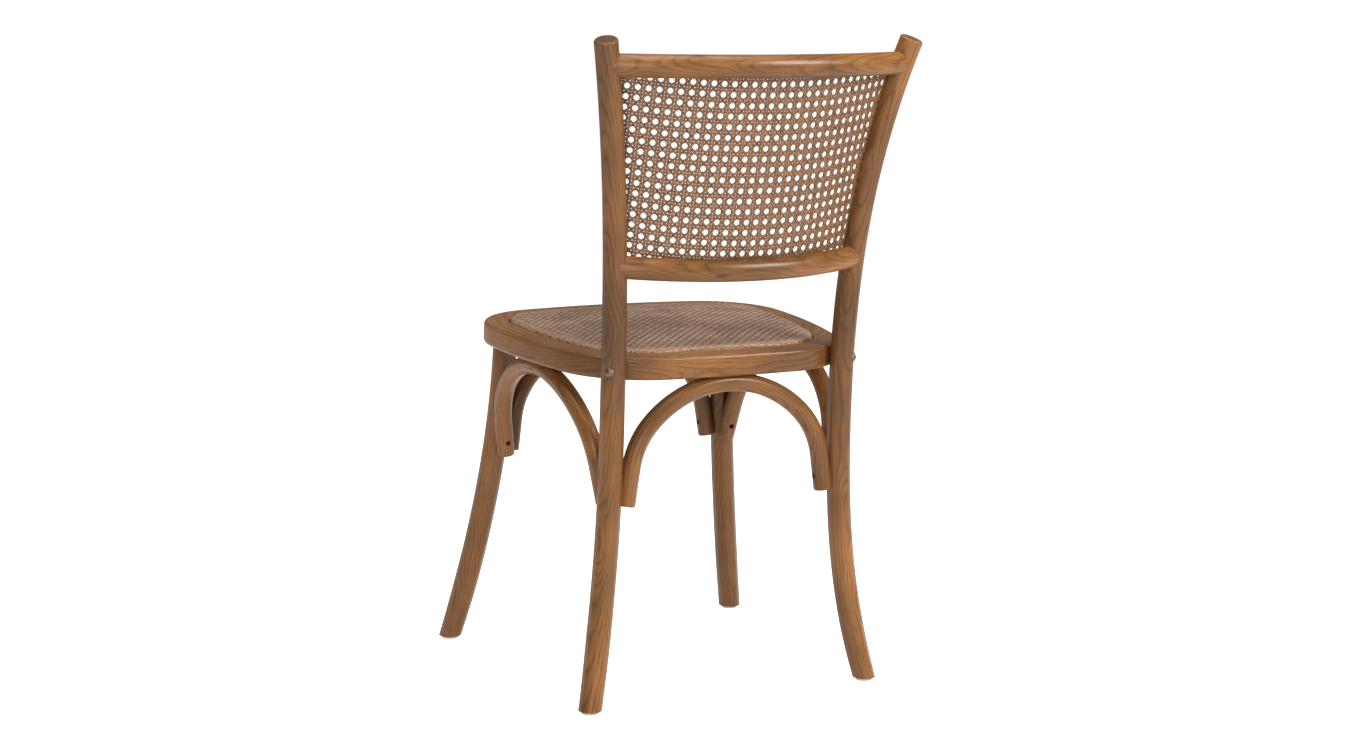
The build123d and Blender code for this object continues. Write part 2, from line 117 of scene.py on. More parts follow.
def standing_place(line, arris):
    """Place on a bent bar with a level foot, for a point of its straight blank."""
    def place(point):
        z = foot_height + point.z
        above_foot = min(point.z / foot_length, 1)
        along = (line(z + slope_step) - line(z - slope_step)).normalized()
        along = Vector((0, 0, 1)).lerp(along, above_foot).normalized()
        across = Vector((along.z, 0, -along.x)).normalized()
        size = planed(point, arris(z)) * (1 + bar_swell * above_foot)
        return line(z) + (across * point.x + along.cross(across) * point.y) * size
    return place


def other_side(place):
    """The same place on the right-hand half of the chair."""
    def mirrored(point):
        left = place(point)
        return Vector((-left.x, left.y, left.z))
    return mirrored


waist_x, waist_x_height, foot_splay, top_splay = 0.171, 0.391, 0.038, 0.0515
waist_y, waist_y_height, foot_rake, top_rake = 0.14432, 0.274, 0.0245, 0.076
post_top, post_bend = 0.88, 2.4


def post_line(z):
    """Centre line of the left rear post at a height."""
    foot_x = (max(waist_x_height - z, 0) / waist_x_height) ** post_bend
    top_x = (max(z - waist_x_height, 0) / (post_top - waist_x_height)) ** post_bend
    foot_y = (max(waist_y_height - z, 0) / waist_y_height) ** post_bend
    top_y = (max(z - waist_y_height, 0) / (post_top - waist_y_height)) ** post_bend
    x = waist_x + foot_splay * foot_x + top_splay * top_x
    return Vector((x, waist_y + foot_rake * foot_y + top_rake * top_y, z))


arris_depth, planed_below, round_above = 0.045, 0.5, 0.68


def post_arris(z):
    """How far the post's arrises stand out at a height, down to nothing where it is round."""
    share = min(max((z - planed_below) / (round_above - planed_below), 0), 1)
    return arris_depth * (1 - share)


def sums_in(group):
    """What adds steps of arithmetic to a node group, for numbers and sockets alike."""
    def sums(operation, *values):
        step = group.nodes.new("ShaderNodeMath")
        step.operation = operation
        for socket, value in zip(step.inputs, values):
            if isinstance(value, (int, float)):
                socket.default_value = value
            else:
                group.links.new(value, socket)
        return step.outputs[0]
    return sums


def wood_figure():
    """Growth rings, knots, fibres, pores and stain of one board, for a point in the straight wood."""
    group = bpy.data.node_groups.new("wood_figure", "ShaderNodeTree")
    for name, kind in (("Board", "NodeSocketVector"), ("Late Wood", "NodeSocketColor"),
                       ("Early Wood", "NodeSocketColor"), ("Pore", "NodeSocketColor"),
                       ("Ring Width", "NodeSocketFloat")):
        group.interface.new_socket(name=name, in_out="INPUT", socket_type=kind)
    for name, kind in (("Colour", "NodeSocketColor"), ("Roughness", "NodeSocketFloat"),
                       ("Height", "NodeSocketFloat")):
        group.interface.new_socket(name=name, in_out="OUTPUT", socket_type=kind)
    node, wire, sums = group.nodes.new, group.links.new, sums_in(group)
    inlet, outlet = node("NodeGroupInput"), node("NodeGroupOutput")

    def scaled(scale):
        fit = node("ShaderNodeMapping")
        fit.inputs["Scale"].default_value = scale
        wire(inlet.outputs["Board"], fit.inputs["Vector"])
        return fit.outputs["Vector"]

    def stretched(scale, detail, rough):
        cloud = node("ShaderNodeTexNoise")
        cloud.inputs["Scale"].default_value = 1
        cloud.inputs["Detail"].default_value = detail
        cloud.inputs["Roughness"].default_value = rough
        wire(scaled(scale), cloud.inputs["Vector"])
        return cloud.outputs["Fac"]

    def ramp(value, *stops):
        curve = node("ShaderNodeValToRGB")
        while len(curve.color_ramp.elements) < len(stops):
            curve.color_ramp.elements.new(0.5)
        for element, (position, level) in zip(curve.color_ramp.elements, stops):
            element.position = position
            element.color = (level, level, level, 1)
        wire(value, curve.inputs["Fac"])
        return curve.outputs["Color"]

    def mixed(kind, share, first, second):
        blend = node("ShaderNodeMix")
        blend.data_type, blend.blend_type = "RGBA", kind
        sockets = blend.inputs[0], blend.inputs[6], blend.inputs[7]
        for socket, value in zip(sockets, (share, first, second)):
            if isinstance(value, float):
                socket.default_value = value
            else:
                wire(value, socket)
        return blend.outputs[2]

    pith_lean, lean_length = 0.09, 0.6
    sway_reach, whorl_reach, ripple_reach = 0.012, 0.007, 0.0012
    split = node("ShaderNodeSeparateXYZ")
    wire(inlet.outputs["Board"], split.inputs["Vector"])
    sway = stretched((20, 20, 6), 2, 0.5)
    ripple = stretched((160, 160, 14), 2, 0.6)
    lean = sums("MULTIPLY", sums("PINGPONG", split.outputs[2], lean_length), pith_lean)
    across = sums("ADD", split.outputs[0], lean)
    from_pith = sums("SQRT", sums("ADD", sums("MULTIPLY", across, across),
                                  sums("MULTIPLY", split.outputs[1], split.outputs[1])))
    branch = node("ShaderNodeTexVoronoi")
    branch.inputs["Scale"].default_value = 1
    wire(scaled((26, 26, 9)), branch.inputs["Vector"])
    knot = ramp(branch.outputs["Distance"], (0.0, 1.0), (0.06, 0.7), (0.11, 0.0))
    whorl = ramp(branch.outputs["Distance"], (0.0, 1.0), (0.5, 0.0))
    for bend, reach in ((sway, sway_reach), (whorl, whorl_reach), (ripple, ripple_reach)):
        from_pith = sums("ADD", from_pith, sums("MULTIPLY", bend, reach))
    ring = sums("FRACT", sums("DIVIDE", from_pith, inlet.outputs["Ring Width"]))
    early = ramp(ring, (0.0, 0.2), (0.3, 0.0), (0.7, 0.3), (0.92, 1.0), (1.0, 0.2))
    fibre = stretched((1300, 1300, 24), 3, 0.6)
    pore = ramp(stretched((2100, 2100, 60), 2, 0.5), (0.0, 1.0), (0.36, 1.0), (0.44, 0.0))
    pore = sums("MULTIPLY", pore, sums("ADD", sums("MULTIPLY", early, 0.75), 0.3))
    blotch = stretched((14, 14, 5), 3, 0.55)
    early_share, fibre_share, blotch_share, pore_share, knot_share = 0.62, 0.6, 0.8, 0.7, 0.75
    late_wood, early_wood = inlet.outputs["Late Wood"], inlet.outputs["Early Wood"]
    colour = mixed("MIX", sums("MULTIPLY", early, early_share), late_wood, early_wood)
    colour = mixed("MULTIPLY", fibre_share, colour, ramp(fibre, (0.3, 0.4), (0.7, 1.0)))
    colour = mixed("MULTIPLY", blotch_share, colour, ramp(blotch, (0.36, 0.4), (0.62, 1.0)))
    colour = mixed("MIX", sums("MULTIPLY", pore, pore_share), colour, inlet.outputs["Pore"])
    colour = mixed("MIX", sums("MULTIPLY", knot, knot_share), colour, inlet.outputs["Pore"])
    wire(colour, outlet.inputs["Colour"])
    rough = sums("ADD", sums("MULTIPLY", fibre, 0.16), sums("MULTIPLY", pore, 0.22))
    wire(sums("ADD", rough, 0.3), outlet.inputs["Roughness"])
    height = sums("SUBTRACT", sums("MULTIPLY", fibre, 0.25), sums("MULTIPLY", pore, 0.8))
    wire(sums("SUBTRACT", height, sums("MULTIPLY", early, 0.2)), outlet.inputs["Height"])
    return group


wood_figure_group = wood_figure()


def new_finish(name):
    """New material, with what adds its nodes, what wires them, and its shader."""
    material = bpy.data.materials.new(name)
    material.use_nodes = True
    tree = material.node_tree
    return material, tree.nodes.new, tree.links.new, tree.nodes["Principled BSDF"]


def bumped(node, strength, depth):
    """Fine relief on a surface."""
    bump = node("ShaderNodeBump")
    bump.inputs["Strength"].default_value = strength
    bump.inputs["Distance"].default_value = depth
    return bump


def figured_wood(name, late, early, ring_width, lacquer):
    """Hardwood with an open grain, stained and under a thin satin lacquer."""
    material, node, wire, shader = new_finish(name)
    shader.inputs["Specular IOR Level"].default_value = 0.14
    shader.inputs["Coat Weight"].default_value = lacquer
    shader.inputs["Coat Roughness"].default_value = 0.27
    figure = node("ShaderNodeGroup")
    figure.node_tree = wood_figure_group
    figure.inputs["Late Wood"].default_value = (*late, 1)
    figure.inputs["Early Wood"].default_value = (*early, 1)
    figure.inputs["Pore"].default_value = (early[0] * 0.3, early[1] * 0.3, early[2] * 0.3, 1)
    figure.inputs["Ring Width"].default_value = ring_width
    board = node("ShaderNodeAttribute")
    board.attribute_name = "grain"
    # The stain attribute sets how much darker the wood is painted, partly stain and partly painted shade;
    # below nothing it paints the wood paler.
    stain = node("ShaderNodeAttribute")
    stain.attribute_name = "stain"
    paler = node("ShaderNodeMath")
    paler.operation = "SUBTRACT"
    paler.inputs[0].default_value = 1
    tint = node("ShaderNodeHueSaturation")
    bump = bumped(node, 0.3, 0.0004)
    wire(board.outputs["Vector"], figure.inputs["Board"])
    wire(stain.outputs["Fac"], paler.inputs[1])
    wire(paler.outputs[0], tint.inputs["Value"])
    wire(figure.outputs["Colour"], tint.inputs["Color"])
    wire(tint.outputs["Color"], shader.inputs["Base Color"])
    wire(figure.outputs["Roughness"], shader.inputs["Roughness"])
    wire(figure.outputs["Height"], bump.inputs["Height"])
    wire(bump.outputs["Normal"], shader.inputs["Normal"])
    return material


bent_wood = figured_wood(
    "bent_wood", late=(0.36, 0.148, 0.038), early=(0.135, 0.051, 0.0132), ring_width=0.0034, lacquer=0.4
)
end_grain = figured_wood(
    "end_grain", late=(0.2, 0.092, 0.04), early=(0.09, 0.041, 0.018), ring_width=0.003, lacquer=0.2
)
most_side_corners = 20


def finish_bar(bar, node):
    """Stains a bar, darker on its sawn ends, and puts it in its node's place."""
    bar.data.materials.append(bent_wood)
    bar.data.materials.append(end_grain)
    for face in bar.data.polygons:
        face.material_index = 1 if len(face.vertices) > most_side_corners else 0
    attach(bar, "root")
    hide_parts(node)


# Painted shade: the rear posts are painted darker in a band about the seat, where they stand in shade.
seat_shade_height, seat_shade_reach = 0.5, 0.13


def painted_seat_shade(z):
    """How strongly a post's painted shade darkens it about the seat, at a height on the blank."""
    return exp(-((z - seat_shade_height) / seat_shade_reach) ** 2)


post_across, post_height, post_cuts, post_easing = 0.03, 0.8797, 64, 0.0026
left_post_place = standing_place(post_line, post_arris)
# Per post: how dark its painted shade about the seat is, and how much paler it is painted overall as painted
# light, more on the right post where the key light falls.
for name, place, board, stain, painted_lightening in (
    ("rear_post_left", left_post_place, (0.03, 0.018, 0.1), 0.52, 0.05),
    ("rear_post_right", other_side(left_post_place), (-0.026, 0.024, 1.7), 0.68, 0.17),
):
    length = post_height - foot_height
    post = straight_blank(name + "_bar", post_across, length, post_cuts)
    ease_end(post, length, post_easing)
    bend_blank(post, place, board, lambda z: stain * painted_seat_shade(z) - painted_lightening)
    finish_bar(post, name)

# Front legs: sabre legs bent outwards and forwards at the floor, with the posts' soft octagon.
# A round tenon on each leg's top goes up into the seat ring.
leg_x, leg_y, leg_splay, leg_forward = 0.1715, -0.20218, 0.0575, 0.0635
leg_top, leg_bend, leg_across, leg_length, leg_cuts = 0.47, 1.8, 0.0305, 0.446, 34


def leg_line(z):
    """Centre line of the left front leg at a height."""
    bend = (max(leg_top - z, 0) / leg_top) ** leg_bend
    return Vector((leg_x + leg_splay * bend, leg_y - leg_forward * bend, z))


left_leg_place = standing_place(leg_line, lambda z: arris_depth)
# Per leg: how much darker it is painted; on the right leg this is mostly painted shade, where the leg stands
# in shade under the seat.
for name, place, board, stain in (
    ("front_leg_left", left_leg_place, (0.022, -0.03, 3.1), 0.05),
    ("front_leg_right", other_side(left_leg_place), (-0.034, -0.012, 4.4), 0.34),
):
    leg = straight_blank(name + "_bar", leg_across, leg_length, leg_cuts)
    bend_blank(leg, place, board, lambda z: stain)
    finish_bar(leg, name)

# Seat ring: one bent hoop with a rounded square outline, tilted so that its front is higher.
# Its flat top has round outer edges, and a ledge inside it carries the seat board.
seat_y, seat_height, seat_tilt = -0.00468, 0.47, radians(-2)
seat = Matrix.Translation((0, seat_y, seat_height)) @ Matrix.Rotation(seat_tilt, 4, "X")


def corner_hub(first, first_radius, second, second_radius, radius):
    """Centre of a left corner's arc that runs into two larger arcs."""
    a, b = first_radius - radius, second_radius - radius
    gap = second - first
    along = (a * a - b * b + gap.length_squared) / (2 * gap.length)
    foot = first + gap.normalized() * along
    side = Vector((-gap.y, gap.x)).normalized() * sqrt(a * a - along * along)
    return max(foot + side, foot - side, key=lambda hub: hub.x)


def heading(hub, corner):
    """Direction in which a large arc's centre sees the corner that it runs into."""
    return atan2(corner.y - hub.y, corner.x - hub.x)


side_radius, rear_radius, front_radius = 0.774, 1.5, 0.894
rear_corner_radius, front_corner_radius = 0.122, 0.108
left_hub, rear_hub, front_hub = Vector((-0.546, -0.106)), Vector((0, -1.333)), Vector((0, 0.656))
rear_corner = corner_hub(left_hub, side_radius, rear_hub, rear_radius, rear_corner_radius)
front_corner = corner_hub(left_hub, side_radius, front_hub, front_radius, front_corner_radius)
front_end, side_front_end = heading(front_hub, front_corner), heading(left_hub, front_corner)
rear_end, side_rear_end = heading(rear_hub, rear_corner), heading(left_hub, rear_corner)
left_half = [
    (front_hub, front_radius, -pi / 2, front_end, 12),
    (front_corner, front_corner_radius, front_end, side_front_end, 18),
    (left_hub, side_radius, side_front_end, side_rear_end, 20),
    (rear_corner, rear_corner_radius, side_rear_end, rear_end, 20),
    (rear_hub, rear_radius, rear_end, pi / 2, 12),
]


def seat_outline(fineness):
    """Stations round the seat's outline, each as arc centre, radius and heading."""
    stations = []
    for hub, radius, start, end, count in left_half:
        for step in range(count * fineness):
            stations.append((hub, radius, start + (end - start) * step / (count * fineness)))
    for hub, radius, start, end, count in reversed(left_half):
        for step in range(count * fineness):
            turn = end + (start - end) * step / (count * fineness)
            stations.append((Vector((-hub.x, hub.y)), radius, pi - turn))
    return stations


def drawn_in(station, inset):
    """Point of the outline at a station, drawn in from the ring's outer edge."""
    hub, radius, turn = station
    return hub + Vector((cos(turn), sin(turn))) * (radius - inset)


def worked(piece, kind, **settings):
    """Works the active piece with one modifier, and applies it."""
    bpy.ops.object.modifier_add(type=kind)
    for name, value in settings.items():
        setattr(piece.modifiers[0], name, value)
    bpy.ops.object.modifier_apply(modifier=piece.modifiers[0].name)


ring_width, ring_height, ledge_width, ledge_drop, ring_rounding = 0.035, 0.031, 0.01, 0.012, 0.006
ledge_edge = ring_width + ledge_width
crease_angle = radians(40)
hoop_stations = seat_outline(1)
hoop_section = [(0, 0), (ring_width, 0), (ring_width, -ledge_drop), (ledge_edge, -ledge_drop),
                (ledge_edge, -ring_height), (0, -ring_height)]
hoop_rounding = {0: 1.0, 1: 0.4, 4: 0.3, 5: 1.0}
bpy.ops.object.select_all(action="DESELECT")
bpy.ops.mesh.primitive_torus_add(
    major_segments=len(hoop_stations), minor_segments=len(hoop_section), major_radius=0.2, minor_radius=0.02
)
hoop = bpy.context.object
hoop.name = hoop.data.name = "seat_hoop"
for vertex in hoop.data.vertices:
    station, corner = divmod(vertex.index, len(hoop_section))
    inset, rise = hoop_section[corner]
    vertex.co = (*drawn_in(hoop_stations[station], inset), rise)
rounding = hoop.data.attributes.new("bevel_weight_edge", "FLOAT", "EDGE")
for edge in hoop.data.edges:
    first, second = (number % len(hoop_section) for number in edge.vertices)
    rounding.data[edge.index].value = hoop_rounding.get(first, 0) if first == second else 0
worked(hoop, "BEVEL", limit_method="WEIGHT", width=ring_rounding, segments=5)
face_outwards()
bpy.ops.object.shade_smooth_by_angle(angle=crease_angle)
worked(hoop, "WEIGHTED_NORMAL")
ring_middle_y = -0.036
board_x, board_y, board_z, board_lie, board_run = 0.05, 0.16, 6, 0.4, 0.2
grain = hoop.data.attributes.new("grain", "FLOAT_VECTOR", "CORNER")
for face in hoop.data.polygons:
    middle_turn = atan2(-face.center.x, face.center.y - ring_middle_y)
    for corner in face.loop_indices:
        spot = hoop.data.vertices[hoop.data.loops[corner].vertex_index].co
        turn = atan2(-spot.x, spot.y - ring_middle_y)
        turn += round((middle_turn - turn) / (2 * pi)) * 2 * pi
        across = hypot(spot.x, spot.y - ring_middle_y)
        lie = (board_x + spot.z, board_y - across * board_lie, board_z + turn * board_run)
        grain.data[corner].vector = lie
for vertex in hoop.data.vertices:
    vertex.co = seat @ vertex.co
hoop.data.materials.append(bent_wood)
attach(hoop, "root")
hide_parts("seat_ring")

# Arches: four bentwood braces under the ring, each screwed to two legs and up into the ring.
# Each end has a blackened screw in a hole sunk from the arch's inner side.
arch_drop, arch_across, arch_arris, arch_cuts, arch_easing = 0.197, 0.0242, 0.035, 76, 0.0012


def seat_end(line):
    """Where an arch's end meets a leg's centre line, in the seat's own frame."""
    low = seat @ Vector((0, line(seat_height).y - seat_y, -arch_drop))
    return seat.inverted() @ line(low.z)


def arch_place(first, second, reach, apex):
    """Place on an arch between two legs for a point of its straight blank, and the blank's length."""
    along = (second - first).normalized()
    middle = (first + second) / 2
    up = apex - middle
    up = (up - along * up.dot(along)).normalized()
    depth = along.cross(up)
    half_span = (second - first).length / 2 - reach
    drop = (apex.z - middle.z) / up.z
    lean, turn, shoulder = radians(8), radians(45), 0.11
    spread = (half_span - shoulder * cos(lean)) * cos(lean) - (drop - shoulder * (1 - sin(lean))) * sin(lean)
    spread /= sin(turn) * cos(lean) - (1 - cos(turn)) * sin(lean)
    crown = shoulder + spread
    hub = Vector((spread * sin(turn), drop - crown + spread * cos(turn)))
    limb_turn = pi / 2 - lean
    limb_top = hub + Vector((sin(limb_turn), cos(limb_turn))) * shoulder
    crown_run, shoulder_run = crown * turn, shoulder * (limb_turn - turn)
    half = crown_run + shoulder_run + (limb_top - Vector((half_span, 0))).length

    def place(point):
        run = abs(point.z - half)
        side = 1 if point.z > half else -1
        if run < crown_run:
            angle = run / crown
            spot = Vector((crown * sin(angle), drop - crown * (1 - cos(angle))))
        elif run < crown_run + shoulder_run:
            angle = turn + (run - crown_run) / shoulder
            spot = hub + Vector((sin(angle), cos(angle))) * shoulder
        else:
            angle = limb_turn
            spot = limb_top + Vector((cos(angle), -sin(angle))) * (run - crown_run - shoulder_run)
        size = planed(point, arch_arris)
        spot += Vector((sin(angle), cos(angle))) * point.x * size
        local = middle + along * spot.x * side + up * spot.y + depth * point.y * size
        local.z = min(local.z, -ring_height)
        return seat @ local

    return place, 2 * half


def across_chair(point):
    """The same point on the chair's other side."""
    return Vector((-point.x, point.y, point.z))


screw_sides, screw_rise, bore_radius, bore_depth, bore_place = 24, 0.0205, 0.0037, 0.023, -0.012
head_radius, head_height, head_place, end_facing = 0.0034, 0.0024, -0.0018, 0.9
recess_rim, recess_depth, shank_rim, shank_length = 0.0018, 0.0012, 0.0015, 0.022


def rod_across(radius, length, place, rise):
    """Round rod that lies across an arch's straight blank."""
    bpy.ops.object.select_all(action="DESELECT")
    bpy.ops.mesh.primitive_cylinder_add(
        vertices=screw_sides, radius=radius, depth=length, location=(place, 0, rise), rotation=(0, pi / 2, 0)
    )
    bpy.ops.object.transform_apply(location=True, rotation=True, scale=True)
    return bpy.context.object


def sunk_screw(rise):
    """Pan-head screw across an arch's straight blank, with a driver's recess in its head."""
    screw = rod_across(head_radius, head_height, head_place, rise)
    bpy.ops.object.mode_set(mode="EDIT")
    bpy.ops.mesh.select_mode(type="FACE")
    for side, width, depth in ((-1, recess_rim, recess_depth), (1, shank_rim, shank_length)):
        bpy.ops.mesh.select_all(action="DESELECT")
        mesh = bmesh.from_edit_mesh(screw.data)
        for face in mesh.faces:
            face.select_set(face.normal.x * side > end_facing)
        bmesh.update_edit_mesh(screw.data)
        bpy.ops.mesh.inset(thickness=width)
        bpy.ops.mesh.extrude_region_move(TRANSFORM_OT_translate={"value": (depth, 0, 0)})
    bpy.ops.object.mode_set(mode="OBJECT")
    bpy.ops.object.shade_smooth_by_angle(angle=crease_angle)
    return screw


def join_pieces(pieces, into, name):
    """Joins pieces into one of them and names it."""
    bpy.ops.object.select_all(action="DESELECT")
    for piece in pieces:
        piece.select_set(True)
    bpy.context.view_layer.objects.active = into
    bpy.ops.object.join()
    into.name = into.data.name = name
    return into


post_reach, leg_reach = 0.02475, 0.025
side_reach = (post_reach + leg_reach) / 2
arch_setback, side_inset, crown_inset = 0.0175, Vector((0.007, 0, 0)), 0.009
rear_crown_y, front_crown_y, crown_z = 0.1495, -0.2205, -0.04125
post_end, leg_end = seat_end(post_line), seat_end(leg_line)
side_front, side_rear = leg_end - side_inset, post_end - side_inset
side_y = (post_end.y + leg_end.y) / 2
side_x = sqrt(side_radius ** 2 - (side_y - left_hub.y) ** 2) + left_hub.x - arch_setback - crown_inset
sunk_screws = []
# The last value darkens each arch; on the front and right arches it is painted shade, where they stand in
# shade.
for name, first, second, reach, apex, board, stain in (
    ("rear_arch", across_chair(post_end), post_end, post_reach,
     Vector((0, rear_crown_y, crown_z)), (0.02, 0.02, 8), 0),
    ("front_arch", across_chair(leg_end), leg_end, leg_reach,
     Vector((0, front_crown_y, crown_z)), (0.025, -0.02, 9.3), 0.25),
    ("left_arch", side_front, side_rear, side_reach,
     Vector((side_x, side_y, crown_z)), (-0.02, 0.026, 11), 0.04),
    ("right_arch", across_chair(side_front), across_chair(side_rear), side_reach,
     Vector((-side_x, side_y, crown_z)), (-0.028, -0.02, 12.6), 0.28),
):
    place, length = arch_place(first, second, reach, apex)
    arch = straight_blank(name + "_bar", arch_across, length, arch_cuts)
    ease_end(arch, 0, arch_easing)
    ease_end(arch, length, arch_easing)
    for rise in (screw_rise, length - screw_rise):
        drill = rod_across(bore_radius, bore_depth, bore_place, rise)
        bpy.context.view_layer.objects.active = arch
        worked(arch, "BOOLEAN", object=drill)
        bpy.data.objects.remove(drill)
        sunk_screws.append(sunk_screw(rise))
        for vertex in sunk_screws[-1].data.vertices:
            vertex.co = place(vertex.co)
    bend_blank(arch, place, board, lambda z: stain)
    finish_bar(arch, name)


def two_tone(node, low, high, start=0.0, end=1.0):
    """Ramp from one tone to another."""
    tone = node("ShaderNodeValToRGB")
    for stop, position, colour in zip(tone.color_ramp.elements, (start, end), (low, high)):
        stop.position, stop.color = position, (*colour, 1)
    return tone


def ranged(node, low, high, start=0.0, end=1.0):
    """Carries a value from one range to another."""
    fit = node("ShaderNodeMapRange")
    for name, value in zip(("From Min", "From Max", "To Min", "To Max"), (start, end, low, high)):
        fit.inputs[name].default_value = value
    return fit


def mottle(node, scale, detail):
    """Cloudy unevenness of a finish."""
    cloud = node("ShaderNodeTexNoise")
    cloud.inputs["Scale"].default_value = scale
    cloud.inputs["Detail"].default_value = detail
    return cloud


def worn_metal(name, dull, bright, rough):
    """Metal with a darkened finish that is brighter where it is rubbed."""
    material, node, wire, shader = new_finish(name)
    shader.inputs["Metallic"].default_value = 1
    place = node("ShaderNodeTexCoord")
    rub = mottle(node, 700, 4)
    tone = two_tone(node, dull, bright, 0.35, 0.7)
    polish = ranged(node, rough + 0.12, rough - 0.08)
    bump = bumped(node, 0.2, 0.0002)
    wire(place.outputs["Object"], rub.inputs["Vector"])
    wire(rub.outputs["Fac"], tone.inputs["Fac"])
    wire(rub.outputs["Fac"], polish.inputs["Value"])
    wire(rub.outputs["Fac"], bump.inputs["Height"])
    wire(tone.outputs["Color"], shader.inputs["Base Color"])
    wire(polish.outputs["Result"], shader.inputs["Roughness"])
    wire(bump.outputs["Normal"], shader.inputs["Normal"])
    return material


def dress(node, material):
    """Puts a finish on a piece that is kept as it was machined."""
    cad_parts[node].data.materials.clear()
    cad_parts[node].data.materials.append(material)


black_steel = worn_metal("black_steel", (0.03, 0.028, 0.026), (0.1, 0.095, 0.09), 0.45)
arch_screws = join_pieces(sunk_screws, sunk_screws[-1], "arch_sunk_screws")
face_outwards()
arch_screws.data.materials.append(black_steel)
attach(arch_screws, "root")
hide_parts("arch_end_screws")
for node in ("arch_top_screws", "seat_board_screws", "seat_bolt_washers",
             "seat_bolt_nuts", "glide_nails"):
    dress(node, black_steel)

# Back rails: two round bars bowed backwards between the posts, coped to them and dowelled.
# The cane's upper and lower edges lie in a groove in each rail.
rail_depth, rail_height, rail_setback, rail_cuts = 0.0275, 0.0302, 0.001, 40
top_rail_z, top_rail_bow, top_rail_dip = 0.845, 0.055, 0
lower_rail_z, lower_rail_bow, lower_rail_dip = 0.583, 0.0445, 0.004


def rail_arc(height, bow, dip):
    """Centre, bow direction, radius and half angle of a rail's arc."""
    end = post_line(height) + Vector((0, rail_setback, 0))
    middle = Vector((0, end.y + bow, height - dip))
    out = middle - Vector((0, end.y, height))
    radius = (end.x ** 2 + out.length_squared) / (2 * out.length)
    out.normalize()
    return middle - out * radius, out, radius, asin(end.x / radius)


# The last value paints the top rail slightly darker and the lower rail paler.
for name, arc, lift, end_lift, board, stain in (
    ("back_top_rail", rail_arc(top_rail_z, top_rail_bow, top_rail_dip), 0.0019, 0.0003,
     (0.03, 0.012, 14), 0.02),
    ("back_lower_rail", rail_arc(lower_rail_z, lower_rail_bow, lower_rail_dip), 0.0022, 0.0018,
     (0.014, 0.032, 15.2), -0.1),
):
    hub, out, radius, half_angle = arc
    length = 2 * radius * half_angle
    rail = straight_blank(name + "_bar", rail_depth, length, rail_cuts)

    def rail_place(point):
        angle = (point.z - length / 2) / radius
        away = Vector((sin(angle), 0, 0)) + out * cos(angle)
        rise = point.y * rail_height / rail_depth + lift + end_lift * (angle / half_angle) ** 2
        return hub + away * (radius + point.x) + Vector((1, 0, 0)).cross(out) * rise

    bend_blank(rail, rail_place, board, lambda z: stain)
    finish_bar(rail, name)

# Cane panel: stained cane webbing, woven from pairs of upright and level strands and two diagonals.
# The flat sheet is bent to the cone between the bowed rails and trimmed to grooves in the posts.
cane_pitch, cane_thickness, cane_trim, cane_weld = 0.01375, 0.0009, 0.004, 0.00005
strand_width, strand_half_gap, strand_belly = 0.0028, 0.00185, 0.0003
strand_lift, diagonal_lift = 0.00025, 0.0018
weave_stretch, columns, rows = 1.03, 34, 23


def strand(length, turn, spot, lift):
    """One flat strand across a single cell, with a raised middle."""
    bpy.ops.object.select_all(action="DESELECT")
    bpy.ops.mesh.primitive_grid_add(x_subdivisions=2, y_subdivisions=2, size=1)
    piece = bpy.context.object
    for vertex in piece.data.vertices:
        x, y = vertex.co.x, vertex.co.y
        vertex.co = (x * strand_width, y * length, strand_belly * (1 - abs(2 * x)) + lift(y))
    piece.rotation_euler.z = turn
    piece.location = (*spot, 0)
    bpy.ops.object.transform_apply(location=True, rotation=True, scale=True)
    return piece


strands = []
for side in (-1, 1):
    beside = cane_pitch / 2 + side * strand_half_gap
    strands.append(strand(cane_pitch, 0, (beside, 0), lambda y: -strand_lift))
    strands.append(strand(cane_pitch, pi / 2, (0, beside), lambda y: strand_lift))
for quarter in range(4):
    turn = pi / 4 + quarter * pi / 2
    over = 1 if quarter % 2 else -1
    spot = Vector((cos(turn), sin(turn))) * (cane_pitch / sqrt(8))
    strands.append(strand(cane_pitch / sqrt(2), turn, spot, lambda y: diagonal_lift * over * y))
cane = join_pieces(strands, strands[0], "cane_webbing")
for count, step in ((columns, (cane_pitch, 0, 0)), (rows, (0, cane_pitch, 0))):
    worked(cane, "ARRAY", count=count, use_relative_offset=False, use_constant_offset=True,
           constant_offset_displace=step)
bpy.ops.object.mode_set(mode="EDIT")
bpy.ops.mesh.select_all(action="SELECT")
bpy.ops.mesh.remove_doubles(threshold=cane_weld)
bpy.ops.object.mode_set(mode="OBJECT")
sheet_forward = Vector((0, -0.007, 0))
low_y = post_line(lower_rail_z).y + lower_rail_bow + rail_setback
top_y = post_line(top_rail_z).y + top_rail_bow + rail_setback
low_middle = Vector((0, low_y, lower_rail_z - lower_rail_dip)) + sheet_forward
top_middle = Vector((0, top_y, top_rail_z - top_rail_dip)) + sheet_forward
panel_height = (top_middle - low_middle).length


def panel_arc(rise):
    """Line of the cane sheet at a height above the lower rail: hub, bow, radius and half length."""
    share = rise / panel_height
    middle = low_middle.lerp(top_middle, share)
    end = post_line(lower_rail_z + (top_rail_z - lower_rail_z) * share) + sheet_forward
    out = middle - Vector((0, end.y, end.z))
    radius = (end.x ** 2 + out.length_squared) / (2 * out.length)
    out.normalize()
    return middle - out * radius, out, radius, radius * asin(end.x / radius)


low_half, top_half = panel_arc(0)[3], panel_arc(panel_height)[3]
cone_reach = panel_height * low_half / (top_half - low_half)
sheet_shift, sheet_start = -0.0059, -0.0328
sheet_corner = Vector((-(columns - 1) / 2 * cane_pitch + sheet_shift, sheet_start, 0))


